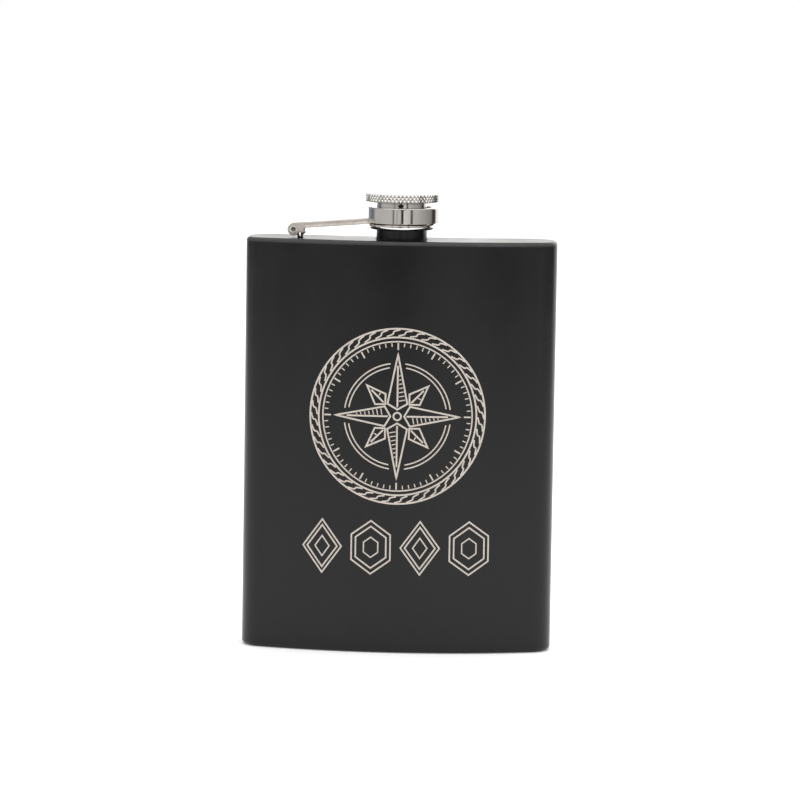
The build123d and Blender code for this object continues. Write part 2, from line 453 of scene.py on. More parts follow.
@dataclass(frozen=True)
class RolledSteel(PolishedMetal):
    """Bright steel with painted shade inside the rolled rims of the tubular hinge pin."""

    name: str = "rolled_steel"
    # the colour of the painted shade in the rolled rim
    shade_tone: Colour = (0.035, 0.026, 0.02)
    hollow: Point2 = (0.42 * MM, 0.70 * MM)  # the radii between which the painted shade lies
    hollow_start: Point2 = (-0.06 * MM, 0.06 * MM)
    hollow_stop: Point2 = (-0.04 * MM, 0.06 * MM)
    climb: Point2 = (-0.20 * MM, 0.12 * MM)  # the heights over which it thickens
    # how dark the painted shade gets at its thickest
    shade_share: float = 0.96

    def painted_shade(self, graph: Graph, tone: bpy.types.NodeSocket) -> bpy.types.NodeSocket:
        """Paints shade into the hollow inside the rolled rim, and most of all into its upper half.

        Args:
            graph: where the nodes go.
            tone: the clean colour.

        Returns:
            The colour with the painted shade in it.
        """
        across, _, up = graph.axes()
        across = graph.math("SUBTRACT", across, PIN[0])
        up = graph.math("SUBTRACT", up, PIN[1])
        radius = graph.hypotenuse(across, up)
        inner, outer = self.hollow
        inside = graph.span(radius, 0.0, 1.0, *(inner + step for step in self.hollow_start))
        outside = graph.span(radius, 1.0, 0.0, *(outer + step for step in self.hollow_stop))
        upper = graph.span(up, 0.0, self.shade_share, *self.climb)
        return graph.paint(graph.product(inside, outside, upper), tone, self.shade_tone)


@dataclass(frozen=True)
class EtchedSteel(Finish):
    """Bare steel where the coat is etched away: pale, frosted and warm."""

    name: str = "etched_steel"
    pale: Colour = (0.66, 0.60, 0.54)
    shade: Colour = (0.46, 0.41, 0.36)
    metallic: float = 0.35
    roughness: float = 0.50
    pit: float = 0.16 * MM
    pit_gloss: Point2 = (-0.08, 0.10)
    pit_share: Point2 = (0.2, 1.0)  # how pale a pit is, and the steel round it
    pit_depth: float = 0.01 * MM
    pit_strength: float = 0.6
    cloud: float = 5.0 * MM
    cloud_share: Point2 = (0.55, 1.0)

    def fill(self, graph: Graph) -> None:
        """Frosts the steel with fine pits and slow changes of tone.

        Args:
            graph: where the nodes go.
        """
        pit = graph.noise(self.pit, 3.0)
        cloud = graph.noise(self.cloud)
        share = graph.product(
            graph.span(pit, *self.pit_share), graph.span(cloud, *self.cloud_share)
        )
        graph.surface(
            Base_Color=graph.blend(share, self.shade, self.pale),
            Metallic=self.metallic,
            Roughness=graph.span(pit, *(self.roughness + step for step in self.pit_gloss)),
            Normal=graph.bump(pit, self.pit_depth, self.pit_strength),
        )


@dataclass(frozen=True)
class Silicone(Finish):
    """Milky silicone rubber with a faint moulded grain and a little dust."""

    name: str = "silicone"
    milk: Colour = (0.60, 0.59, 0.56)
    dust: Colour = (0.47, 0.45, 0.41)
    roughness: float = 0.42
    cloud: float = 2.0 * MM
    grain: float = 0.12 * MM
    grain_gloss: Point2 = (-0.06, 0.10)
    grain_depth: float = 0.006 * MM
    grain_strength: float = 0.5

    def fill(self, graph: Graph) -> None:
        """Dusts the rubber and gives it its moulded grain.

        Args:
            graph: where the nodes go.
        """
        cloud = graph.noise(self.cloud, 3.0)
        grain = graph.noise(self.grain)
        graph.surface(
            Base_Color=graph.blend(graph.span(cloud), self.milk, self.dust),
            Roughness=graph.span(grain, *(self.roughness + step for step in self.grain_gloss)),
            Normal=graph.bump(grain, self.grain_depth, self.grain_strength),
        )


@dataclass(frozen=True)
class GlowingTable(Finish):
    """A white table top that glows as painted light, a little near the flask and more away from it.
    """

    name: str = "table_white"
    plain: Colour = (0.90, 0.90, 0.90)
    bright: Colour = (0.93, 0.93, 0.93)
    roughness: float = 0.75
    cloud: float = 0.15
    glow: Point2 = (0.2, 0.3)  # how strong it is near the flask, and away from it
    glow_reach: Point2 = (0.06, 0.35)  # how far away it begins to rise, and stops

    def fill(self, graph: Graph) -> None:
        """Mottles the white faintly and makes it glow as painted light.

        Args:
            graph: where the nodes go.
        """
        tone = graph.blend(graph.span(graph.noise(self.cloud)), self.plain, self.bright)
        place = graph.object_space()
        away = graph.add("ShaderNodeVectorMath", {"operation": "LENGTH"}, i0=place).outputs[1]
        graph.surface(
            Base_Color=tone,
            Roughness=self.roughness,
            Emission_Color=(1.0, 1.0, 1.0, 1.0),
            # painted light: the glow, weaker near the flask
            Emission_Strength=graph.span(away, *self.glow, *self.glow_reach),
        )


POWDER = PowderCoat()
# The top plate's rounded rim gets a painted highlight.
POWDER_WITH_EDGE_HIGHLIGHT = PowderCoat(name="powder_coat_rubbed", edge=(PLATE - 1.2 * MM, PLATE - 0.05 * MM))
CAP_CHROME = PolishedMetal()
# The bottoms of the knurl's grooves get painted shade.
KNURLED_CHROME = PolishedMetal(
    name="knurled_chrome",
    clean=(0.71, 0.69, 0.67),
    dull=(0.62, 0.60, 0.58),
    groove=(11.04 * MM, 11.09 * MM),
)
BRUSHED_STRAP = PolishedMetal(
    name="brushed_strap",
    clean=(0.68, 0.625, 0.58),
    dull=(0.54, 0.49, 0.45),
    roughness=0.36,
    smudge=1.6 * MM,
    line=0.07 * MM,
    line_depth=0.002 * MM,
    line_run=(0.03, 1.0, 1.0),
)
RING_CHROME = PolishedMetal(
    name="ring_chrome",
    clean=(0.74, 0.72, 0.69),
    dull=(0.68, 0.66, 0.63),
    roughness=0.06,
    line_depth=0.00025 * MM,
)
# Painted shade inside the pin's rolled rims, darkest in their upper half.
PIN_STEEL = RolledSteel(roughness=0.13, smudge=0.8 * MM, line_depth=0.0004 * MM)
DRAWN_STEEL = PolishedMetal(
    name="drawn_steel",
    clean=(0.60, 0.58, 0.55),
    dull=(0.46, 0.44, 0.41),
    roughness=0.28,
    smudge=1.2 * MM,
)
ETCHED = EtchedSteel()
SILICONE = Silicone()
GLOWING_TABLE = GlowingTable()


# ---------------------------------------------------------------------------------------------
# Meshes
# ---------------------------------------------------------------------------------------------


def rounded(radius: float, steps: int = 4) -> list[Point2]:
    """Gives the section of a rounded edge, as depths and insets, deepest first."""
    turns = [math.pi / 2 * k / steps for k in range(steps + 1)]
    return [(radius * (1 - math.sin(t)), radius * (1 - math.cos(t))) for t in turns]


def arc(start: float, sweep: float, steps: int) -> list[float]:
    """Divides an arc, which is given in degrees, into angles in radians."""
    return [math.radians(start + sweep * n / steps) for n in range(steps + 1)]


def turned(radius: float, turn: float, up: float) -> Point3:
    """Finds the point at that radius, angle in radians and height about the neck's axis."""
    return (radius * math.cos(turn), AXIS_Y + radius * math.sin(turn), up)


@dataclass
class Sculpt:
    """Points and faces that are gathered before they become one object."""

    points: list[Vector] = field(default_factory=list)
    faces: list[tuple[int, ...]] = field(default_factory=list)
    flat: set[int] = field(default_factory=set)  # the faces that keep hard edges

    def ring(self, points: Iterable[Sequence[float]]) -> list[int]:
        """Adds points.

        Args:
            points: where they are.

        Returns:
            Their numbers.
        """
        first = len(self.points)
        self.points.extend(Vector(p) for p in points)
        return list(range(first, len(self.points)))

    def face(self, numbers: Sequence[int], flat: bool = False) -> None:
        """Adds a face.

        Args:
            numbers: its points.
            flat: True if it keeps hard edges.
        """
        if flat:
            self.flat.add(len(self.faces))
        self.faces.append(tuple(numbers))

    def bridge(
        self, low: Sequence[int], high: Sequence[int], closed: bool = True, flat: bool = False
    ) -> None:
        """Joins two rings of as many points with quads.

        Args:
            low: the first ring.
            high: the second ring.
            closed: True if the rings run all the way round.
            flat: True if the quads keep hard edges.
        """
        count = len(low)
        for n in range(count if closed else count - 1):
            after = (n + 1) % count
            self.face((low[n], low[after], high[after], high[n]), flat)

    def prism(
        self,
        outline: Sequence[Point2],
        low: float,
        high: float,
        edge: Sequence[Point2],
        weights: Sequence[float] | None = None,
    ) -> None:
        """Adds a plate whose outline lies in X and Z, with shaped edges.

        Args:
            outline: its corners, anticlockwise seen from -Y.
            low: where it starts along Y.
            high: where it ends along Y.
            edge: the edge's section, as depths below the face and insets there, deepest first.
            weights: how much of the inset each corner gets, or None for all of it.
        """
        count = len(outline)
        outward = []
        for n in range(count):
            before, here, after = (Vector(outline[(n + k) % count]) for k in (-1, 0, 1))
            first, second = (here - before).normalized(), (after - here).normalized()
            along = (first + second).normalized()
            steer = max(MITRE_LIMIT, along.dot(first))
            outward.append(Vector((along.y, -along.x)) / steer)
        shares = weights or [1.0] * count
        layers = [(low + depth, inset) for depth, inset in reversed(edge)]
        layers += [(high - depth, inset) for depth, inset in edge]
        rings = []
        for y, inset in layers:
            corners = zip(outline, outward, shares)
            spots = [Vector(point) - out * inset * share for point, out, share in corners]
            rings.append(self.ring((p.x, y, p.y) for p in spots))
        for near, far in zip(rings, rings[1:]):
            self.bridge(far, near)
        self.face(rings[0], flat=True)
        self.face(rings[-1][::-1], flat=True)

    def build(self, name: str, body: str, slot: str, finish: Finish) -> bpy.types.Object:
        """Makes the object, dresses it and lets it ride.

        Args:
            name: the object's name.
            body: the CAD body it moves with.
            slot: the record's material slot; not used.
            finish: what it is finished in.

        Returns:
            The object.
        """
        mesh = bpy.data.meshes.new(name)
        mesh.from_pydata([tuple(p) for p in self.points], [], self.faces)
        mesh.update()
        for polygon in mesh.polygons:
            polygon.use_smooth = polygon.index not in self.flat
        piece = bpy.data.objects.new(name, mesh)
        bpy.context.scene.collection.objects.link(piece)
        finish.dress(piece)
        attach(piece, body)
        LOG.info("made %s: %d points, %d faces", name, len(self.points), len(self.faces))
        return piece


def dress_nodes(finish: Finish, *names: str) -> None:
    """Puts a finish on CAD nodes.

    Args:
        finish: the finish.
        names: the nodes' names.
    """
    for name in names:
        finish.dress(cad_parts[name])
        LOG.info("dressed %s in %s", name, finish.name)


# ---------------------------------------------------------------------------------------------
# The flask's body
# ---------------------------------------------------------------------------------------------


@dataclass
class Shell:
    """The welded body: two panels, two plates and the neck."""

    front_y: float = -13.14 * MM
    front_radius: float = 138.0 * MM
    neck_radius: float = 7.7 * MM
    bead_width: float = 0.34 * MM
    bead_ripples: int = 90
    bead_slices: int = 8  # slices for each ripple
    bead_points: int = 9  # points round each slice
    bead_shares: Point3 = (0.80, 0.12, 0.08)  # even, rippled and wandering parts of its width
    bead_middle: Point2 = (0.30, 0.20)  # how far out and up its middle is, in widths
    bead_radius: float = 0.62  # the radius of its section, in widths
    bead_bite: float = 0.2 * MM  # how deep it is let into the joint

    def on_front(self, across: float, up: float, out: float) -> Vector:
        """Finds a point on the bulging front.

        Args:
            across: distance to the right of the middle, measured along the surface.
            up: height above the base.
            out: distance in front of the surface.

        Returns:
            The point.
        """
        angle = across / self.front_radius
        reach = self.front_radius + out
        centre = self.front_y + self.front_radius
        return Vector((reach * math.sin(angle), centre - reach * math.cos(angle), up))

    def neck_bead(self) -> bpy.types.Object:
        """Lays the rippled weld bead round the foot of the neck.

        Returns:
            The bead.
        """
        sculpt = Sculpt()
        around = self.bead_ripples * self.bead_slices
        even, rippled, wandering = self.bead_shares
        out, up = self.bead_middle
        rings = []
        for n in range(around):
            turn = TAU * n / around
            ripple = 0.5 + 0.5 * math.cos(turn * self.bead_ripples)
            wander = 0.5 + 0.5 * math.sin(3 * turn + 0.7) * math.sin(5 * turn)
            size = self.bead_width * (even + rippled * ripple + wandering * wander)
            ring = []
            for k in range(self.bead_points):
                lean = math.pi * 1.5 * k / (self.bead_points - 1) - math.pi * 0.5
                radius = self.neck_radius + size * out + size * self.bead_radius * math.cos(lean)
                rise = PLATE + size * up + size * self.bead_radius * math.sin(lean)
                ring.append(turned(radius, turn, rise))
            ring.append(turned(self.neck_radius - self.bead_bite, turn, PLATE - self.bead_bite))
            rings.append(sculpt.ring(ring))
        for n, ring in enumerate(rings):
            sculpt.bridge(rings[(n + 1) % around], ring)
        return sculpt.build("neck_weld", "flask", "body_coat", POWDER)

    def make(self) -> None:
        """Dresses the body's nodes and lays the bead."""
        dress_nodes(POWDER, "front_panel", "back_panel", "base_plate", "neck_spout")
        dress_nodes(POWDER_WITH_EDGE_HIGHLIGHT, "top_plate")
        self.neck_bead()


# ---------------------------------------------------------------------------------------------
# The etched ornament
# ---------------------------------------------------------------------------------------------


class Motif(Enum):
    """The shapes in the row below the medallion."""

    LOZENGE = "lozenge"
    HEXAGON = "hexagon"


class Weight(Enum):
    """How heavy a line is, as a share of the full one."""

    FULL = 1.0
    STRONG = 0.9
    STRAND = 0.85
    MEDIUM = 0.8
    LIGHT = 0.75
    FINE = 0.6


@dataclass(frozen=True)
class Ray:
    """The sizes of one point of the rose."""

    root: float  # its inner corner's distance from the centre
    waist: float  # its two side corners' distance
    reach: float  # its tip's distance
    spread: float  # the angle of the side corners from its ridge


@dataclass
class Ornament:
    """A compass rose in a rope border over a row of plain shapes, all in etched line."""

    shell: Shell
    centre: Point2 = (0.0, 72.75 * MM)
    radius: float = 27.0 * MM
    line: float = 0.52 * MM
    proud: float = 0.028 * MM
    sunk: float = 0.06 * MM
    stagger: float = 0.001 * MM  # the step in height that keeps lines that cross apart
    stagger_steps: int = 7
    mitre_limit: float = 0.35  # keeps sharp corners from running out into spikes
    stretch: float = 0.9 * MM  # the longest straight stretch that still follows the curved front
    chord: float = 0.8 * MM  # and the same round a circle
    circle_points: int = 24  # the fewest points a circle has

    rope_width: float = 2.9 * MM
    strands: int = 44
    strand_steps: int = 14
    strand_sway: float = 0.16  # how strongly a strand is S-shaped
    strand_lean: float = 1.15  # how many pitches a strand runs across
    strand_gap: float = 0.45 * MM  # from the inner circle's middle
    strand_stop: float = 1.1  # from the border's outside, in lines

    scale_inset: float = 4.2 * MM
    ticks: int = 72
    ticks_to_long: int = 6  # one tick in so many is a long one
    tick_gap: float = 0.42 * MM
    tick_long: float = 2.1 * MM
    tick_short: float = 1.15 * MM

    hub: float = 1.15 * MM
    long_ray: Ray = Ray(2.1 * MM, 4.9 * MM, 18.9 * MM, 38.0)
    short_ray: Ray = Ray(5.2 * MM, 7.7 * MM, 13.2 * MM, 17.0)
    ridge_start: float = 0.75 * MM  # the ridge's distance from the root
    ridge_stop: float = 0.6 * MM  # and from the tip, where it also gives up a share of the ray
    ridge_share: float = 0.17
    hatch_pitch: float = 1.15 * MM
    hatch_drop: float = 0.5 * MM  # how far a hatch's end on the ridge lies behind its other end
    hatch_gap: float = 0.42 * MM  # the space at each end of a hatch
    hatch_gap_share: float = 0.45  # the most of a hatch's length that a gap may take
    hatch_least: float = 0.45 * MM  # no hatch is shorter
    arcs: tuple[Point2, ...] = ((15.0 * MM, 9.5), (16.2 * MM, 8.0))  # radius, and angle left clear
    arc_steps: int = 30

    row: tuple[Motif, ...] = (Motif.LOZENGE, Motif.HEXAGON, Motif.LOZENGE, Motif.HEXAGON)
    row_height: float = 32.5 * MM
    row_pitch: float = 15.0 * MM
    row_size: Point2 = (12.4 * MM, 17.0 * MM)
    row_insets: tuple[tuple[float, Weight], ...] = (
        (0.26 * MM, Weight.STRONG),
        (1.55 * MM, Weight.STRONG),
        (4.0 * MM, Weight.LIGHT),
    )
    row_taper: float = 2.7  # how much of an inset a shape loses in height, against 2 in width
    shoulder: float = 0.72  # a hexagon's shoulders below its top, in half widths

    sculpt: Sculpt = field(default_factory=Sculpt)
    drawn: int = 0  # how many lines there are so far

    def divide(self, path: Sequence[Point2], closed: bool) -> list[Point2]:
        """Adds points to a line so that no stretch of it is long enough to leave the curved front.

        Args:
            path: the line's points.
            closed: True if its end meets its start.

        Returns:
            The line with its extra points.
        """
        result = []
        for n in range(len(path) if closed else len(path) - 1):
            start, stop = Vector(path[n]), Vector(path[(n + 1) % len(path)])
            pieces = max(1, math.ceil((stop - start).length / self.stretch))
            result.extend(tuple(start.lerp(stop, k / pieces)) for k in range(pieces))
        return result if closed else [*result, path[-1]]

    def stroke(self, path: Sequence[Point2], closed: bool, weight: Weight = Weight.FULL) -> None:
        """Draws one line as a thin closed ribbon that follows the front.

        Args:
            path: the line's points on the unrolled front, across and up.
            closed: True if its end meets its start.
            weight: how heavy the line is.
        """
        half = self.line * weight.value / 2
        path = self.divide(path, closed)
        count = len(path)
        self.drawn += 1
        out = self.proud + self.stagger * (self.drawn % self.stagger_steps)
        left, right = [], []
        for n, point in enumerate(path):
            here = Vector(point)
            before = Vector(path[n - 1]) if n or closed else None
            after = Vector(path[(n + 1) % count]) if n < count - 1 or closed else None
            into = (here - before).normalized() if before is not None else None
            away = (after - here).normalized() if after is not None else None
            along = ((into or away) + (away or into)).normalized()
            side = Vector((-along.y, along.x))
            steer = max(self.mitre_limit, abs(along.dot(into or away)))
            left.append(here + side * half / steer)
            right.append(here - side * half / steer)
        rows = []
        for line, height in ((left, out), (right, out), (right, -self.sunk), (left, -self.sunk)):
            rows.append(self.sculpt.ring(self.shell.on_front(p.x, p.y, height) for p in line))
        for low, high in zip(rows, rows[1:] + rows[:1]):
            self.sculpt.bridge(high, low, closed, flat=True)
        if not closed:
            self.sculpt.face([row[0] for row in rows], flat=True)
            self.sculpt.face([row[-1] for row in reversed(rows)], flat=True)

    def polar(self, radius: float, degrees: float) -> Point2:
        """Finds a point by its distance from the medallion's centre and its clock angle."""
        turn = math.radians(degrees)
        return (self.centre[0] + radius * math.sin(turn), self.centre[1] + radius * math.cos(turn))

    def circle(self, radius: float, weight: Weight = Weight.FULL) -> None:
        """Draws a circle about the medallion's centre."""
        count = max(self.circle_points, round(TAU * radius / self.chord))
        self.stroke([self.polar(radius, 360 * n / count) for n in range(count)], True, weight)

    def rope(self) -> None:
        """Draws the border: two circles with S-shaped strands between them."""
        inner = self.radius - self.rope_width
        self.circle(self.radius - self.line / 2)
        self.circle(inner)
        pitch = 360.0 / self.strands
        start = inner + self.strand_gap
        length = self.radius - inner - self.strand_gap - self.line * self.strand_stop
        for n in range(self.strands):
            path = []
            for k in range(self.strand_steps + 1):
                share = k / self.strand_steps
                swing = share + self.strand_sway * math.sin(TAU * share)
                angle = pitch * (n + self.strand_lean * swing)
                path.append(self.polar(start + length * share, angle))
            self.stroke(path, False, Weight.STRAND)

    def scale(self) -> None:
        """Draws the ring of ticks inside the border."""
        outer = self.radius - self.scale_inset
        start = outer - self.tick_gap
        self.circle(outer, Weight.MEDIUM)
        for n in range(self.ticks):
            long = n % self.ticks_to_long == 0
            length = self.tick_long if long else self.tick_short
            angle = 360.0 * n / self.ticks
            ends = [self.polar(start, angle), self.polar(start - length, angle)]
            self.stroke(ends, False, Weight.STRONG if long else Weight.FINE)

    def point(self, degrees: float, ray: Ray) -> None:
        """Draws one point of the rose: its outline, its ridge and the hatching on one half.

        Args:
            degrees: the way it points.
            ray: its sizes.
        """
        tip = self.polar(ray.reach, degrees)
        corners = [self.polar(ray.waist, degrees + side * ray.spread) for side in (1, -1)]
        self.stroke([self.polar(ray.root, degrees), corners[0], tip, corners[1]], True)
        ridge_end = ray.reach - self.ridge_share * (ray.reach - ray.root) - self.ridge_stop
        ridge = [self.polar(r, degrees) for r in (ray.root + self.ridge_start, ridge_end)]
        self.stroke(ridge, False)
        lines = int((ray.reach - ray.waist) / self.hatch_pitch)
        foot = ray.waist * math.cos(math.radians(ray.spread))
        for n in range(1, lines - 1):
            share = n / lines
            along = foot + (ray.reach - foot) * share - self.hatch_drop
            on_ridge = Vector(self.polar(along, degrees))
            on_edge = Vector(corners[0]).lerp(Vector(tip), share)
            gap = min(self.hatch_gap_share, self.hatch_gap / (on_edge - on_ridge).length)
            start, stop = on_ridge.lerp(on_edge, gap), on_ridge.lerp(on_edge, 1.0 - gap)
            if (stop - start).length > self.hatch_least:
                self.stroke([tuple(start), tuple(stop)], False, Weight.FINE)

    def rose(self) -> None:
        """Draws four long points on the axes, four short ones between them and broken rings."""
        self.circle(self.hub)
        for n in range(4):
            self.point(90.0 * n, self.long_ray)
            self.point(90.0 * n + 45.0, self.short_ray)
        for n in range(4):
            for radius, clear in self.arcs:
                start, sweep = 90.0 * n + clear, 90.0 - 2 * clear
                steps = range(self.arc_steps + 1)
                path = [self.polar(radius, start + sweep * k / self.arc_steps) for k in steps]
                self.stroke(path, False, Weight.LIGHT)

    def shape(self, motif: Motif, across: float, size: Point2, weight: Weight) -> None:
        """Draws one closed shape of the row.

        Args:
            motif: which shape.
            across: where its middle is.
            size: its width and height.
            weight: how heavy the line is.
        """
        half_x, half_y = size[0] / 2, size[1] / 2
        if motif is Motif.LOZENGE:
            corners = [(0.0, half_y), (half_x, 0.0), (0.0, -half_y), (-half_x, 0.0)]
        else:
            shoulder = half_y - half_x * self.shoulder
            corners = [
                (0.0, half_y), (half_x, shoulder), (half_x, -shoulder),
                (0.0, -half_y), (-half_x, -shoulder), (-half_x, shoulder),
            ]
        self.stroke([(across + x, self.row_height + y) for x, y in corners], True, weight)

    def shapes(self) -> None:
        """Draws the row, each shape with a double outline and a small one in its middle."""
        first = -self.row_pitch * (len(self.row) - 1) / 2
        width, height = self.row_size
        for n, motif in enumerate(self.row):
            for inset, weight in self.row_insets:
                size = (width - 2 * inset, height - self.row_taper * inset)
                self.shape(motif, first + n * self.row_pitch, size, weight)

    def make(self) -> bpy.types.Object:
        """Draws every line and makes them one piece.

        Returns:
            The ornament.
        """
        self.rope()
        self.scale()
        self.rose()
        self.shapes()
        return self.sculpt.build("etched_ornament", "flask", "body_coat", ETCHED)


# ---------------------------------------------------------------------------------------------
# The cap
# ---------------------------------------------------------------------------------------------


@dataclass
class Cap:
    """The screw cap: knurled head, stem, rivet, threaded cup and seal."""

    head_radius: float = 11.2 * MM
    stem_radius: float = 7.7 * MM
    foot: float = 8.8 * MM  # this and the next two are heights above the top plate
    rim_low: float = 11.45 * MM
    rim_high: float = RIM_RISE
    crown: float = 0.4 * MM
    crown_rings: tuple[float, ...] = (1.0, 0.985, 0.85, 0.65, 0.45, 0.25, 0.1)  # shares of the radius
    edge: float = 0.16 * MM
    chamfer: float = 0.15 * MM
    waist: tuple[Point2, ...] = (  # the stem's inset, and how far below the head it is
        (0.0, 1.7 * MM),
        (0.02 * MM, 1.1 * MM),
        (0.07 * MM, 0.6 * MM),
        (0.13 * MM, 0.2 * MM),
        (0.15 * MM, 0.0),
    )
    rivet_radius: float = 1.6 * MM
    diamonds: int = 58
    rows: float = 1.5
    samples: int = 10  # points across each diamond
    knurl_depth: float = 0.17 * MM
    knurl_flank: float = 1.1  # above 1, it leaves a small flat on top of each diamond

    def knurl(self, around: float, up: float) -> float:
        """Gives how far the knurl stands in from the rim.

        Args:
            around: the place round the rim, in diamonds.
            up: the place up the rim, in diamonds.

        Returns:
            The depth below the rim's full radius.
        """
        first = abs(2.0 * ((around + up) % 1.0) - 1.0)
        second = abs(2.0 * ((around - up) % 1.0) - 1.0)
        return self.knurl_depth * (1.0 - min(1.0, self.knurl_flank * min(first, second)))

    def circle(self, sculpt: Sculpt, radius: float, up: float) -> list[int]:
        """Adds a plain circle of points about the cap's axis.

        Args:
            sculpt: where the points go.
            radius: the circle's radius.
            up: its height above the top plate.

        Returns:
            The points' numbers.
        """
        count = self.diamonds * self.samples
        return sculpt.ring(turned(radius, TAU * n / count, PLATE + up) for n in range(count))

    def band(self, sculpt: Sculpt) -> list[list[int]]:
        """Rolls the knurl on the rim, from its lower edge to its upper one.

        Args:
            sculpt: where the points go.

        Returns:
            The points' numbers, ring by ring.
        """
        count = self.diamonds * self.samples
        steps = round(self.rows * self.samples)
        low, high = self.rim_low + self.edge, self.rim_high - self.edge
        rings = []
        for k in range(steps + 1):
            up = PLATE + low + (high - low) * k / steps
            points = []
            for n in range(count):
                depth = self.knurl(n / self.samples, self.rows * k / steps)
                points.append(turned(self.head_radius - depth, TAU * n / count, up))
            rings.append(sculpt.ring(points))
        return rings

    def head(self) -> bpy.types.Object:
        """Turns the head and its stem, with the knurled band on the rim.

        Returns:
            The head, which stands for the plain CAD one.
        """
        sculpt = Sculpt()
        inside = self.head_radius - self.edge - self.knurl_depth
        profile = [
            (self.rivet_radius, self.foot),
            (self.stem_radius - self.chamfer, self.foot),
            (self.stem_radius, self.foot + self.chamfer),
            *((self.stem_radius - inset, self.rim_low - drop) for inset, drop in self.waist),
            (inside, self.rim_low),
        ]
        rings = [self.circle(sculpt, radius, up) for radius, up in profile]
        start = len(rings)
        rings += self.band(sculpt)
        stop = len(rings)
        for share in self.crown_rings:
            rise = self.crown * (1.0 - share * share)
            rings.append(self.circle(sculpt, inside * share, self.rim_high + rise))
        for n in range(len(rings) - 1):
            sculpt.bridge(rings[n], rings[n + 1], flat=start - 1 <= n < stop)
        ends = ((self.rim_high + self.crown, rings[-1]), (self.foot, rings[0][::-1]))
        for up, edge in ends:
            middle = sculpt.ring([(0.0, AXIS_Y, PLATE + up)])[0]
            for n, number in enumerate(edge):
                sculpt.face((number, edge[(n + 1) % len(edge)], middle))
        head = sculpt.build("cap_head_knurled", "cap", "cap_chrome", KNURLED_CHROME)
        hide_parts("cap_head")
        return head

    def make(self) -> None:
        """Builds the head and dresses the rest of the cap."""
        self.head()
        dress_nodes(CAP_CHROME, "cap_cup")
        dress_nodes(DRAWN_STEEL, "cap_rivet")
        dress_nodes(SILICONE, "cap_seal")


@dataclass
class Arm:
    """The strap and ring that keep the cap on the flask, with the hinge they swing on."""

    ring_x: float = 0.65 * MM
    ring_radius: float = 11.0 * MM
    ring_bite: float = 0.45 * MM  # how far the strap runs into the ring
    width: float = 5.2 * MM
    thickness: float = 1.6 * MM
    slope: float = 1.85 / 22.55  # its rise over its run
    bar_start: float = 2.4 * MM  # where the full strap starts, from the pin
    bar_steps: int = 12
    edge: tuple[Point2, ...] = (  # the section of its lower edges, as depths and insets
        (0.14 * MM, 0.0),
        (0.12 * MM, 0.06 * MM),
        (0.06 * MM, 0.36 * MM),
        (0.0, 0.8 * MM),
    )
    top_share: float = 0.25  # the strap's top edges are this much tighter than its lower ones
    sink: float = 0.04 * MM  # how far the ears lie below its top, and it lies within their faces
    ear_radius: float = 1.85 * MM
    ear_thickness: float = 0.8 * MM
    ear_edge: float = 0.26 * MM
    ear_root: float = 0.5 * MM  # how far an ear runs on along the strap past its lobe
    eye: tuple[float, float, int] = (90.0, 232.0, 30)  # the eye's arc: start, sweep and steps
    lobe: Point2 = (2.5 * MM, -0.35 * MM)  # the lobe's middle, from the pin
    lobe_radius: float = 0.75 * MM
    nose: tuple[float, float, int] = (205.0, 155.0, 16)  # the lobe's arc, in the same way

    def top(self, reach: float) -> Point2:
        """Finds the point on top of the strap at that distance from the pin."""
        return (PIN[0] + reach, PIN[1] + self.ear_radius + self.slope * reach)

    def under(self, reach: float) -> Point2:
        """Finds the point on the strap's underside at that distance from the pin."""
        return (PIN[0] + reach, self.top(reach)[1] - self.thickness)

    def bar(self, start: float, stop: float) -> list[Point2]:
        """Outlines the strap between two distances from the pin, anticlockwise.

        Args:
            start: where it starts.
            stop: where it ends.

        Returns:
            The outline.
        """
        count = self.bar_steps
        upper = [self.top(stop + (start - stop) * n / count) for n in range(count + 1)]
        lower = [(x, z - self.thickness) for x, z in reversed(upper)]
        return lower + upper

    def ear(self) -> list[Point2]:
        """Outlines an ear: the eye round the pin, the small lobe beside it and a little of the strap.

        Returns:
            The outline, anticlockwise.
        """
        x, z = PIN
        reach, rise = self.lobe
        eye, nose = self.ear_radius, self.lobe_radius
        outline = [(x + eye * math.cos(t), z + eye * math.sin(t)) for t in arc(*self.eye)]
        for t in arc(*self.nose):
            outline.append((x + reach + nose * math.cos(t), z + rise + nose * math.sin(t)))
        end = reach + nose + self.ear_root
        outline += [self.under(reach + nose), self.under(end)]
        outline += [(x + along, self.top(along)[1] - self.sink) for along in (end, end / 2)]
        return outline

    def strap(self) -> bpy.types.Object:
        """Forges the strap with its rounded edges and its two ears.

        Returns:
            The strap, which stands for the plain CAD one.
        """
        sculpt = Sculpt()
        half = self.width / 2
        inner = half - self.sink
        bar = self.bar(self.bar_start, self.ring_x - PIN[0] - self.ring_radius + self.ring_bite)
        weights = [1.0] * (len(bar) // 2) + [self.top_share] * (len(bar) // 2)
        sculpt.prism(bar, AXIS_Y - inner, AXIS_Y + inner, self.edge, weights)
        for side in (-1, 1):
            faces = (half, half - self.ear_thickness)
            low, high = sorted(AXIS_Y + side * face for face in faces)
            sculpt.prism(self.ear(), low, high, rounded(self.ear_edge))
        strap = sculpt.build("arm_strap_forged", "arm", "arm_chrome", BRUSHED_STRAP)
        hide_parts("arm_strap")
        return strap

    def make(self) -> None:
        """Builds the strap and dresses the rest of the arm and its hinge."""
        self.strap()
        dress_nodes(RING_CHROME, "arm_ring")
        dress_nodes(PIN_STEEL, "hinge_pin")
        dress_nodes(POWDER, "hinge_lug")


# ---------------------------------------------------------------------------------------------
# The studio
# ---------------------------------------------------------------------------------------------


class Tint(Enum):
    """The colour casts of the tent's cloth."""

    NEUTRAL = (1.0, 0.985, 0.965)
    COOL = (0.90, 0.97, 1.05)
    WARM = (1.12, 0.96, 0.84)


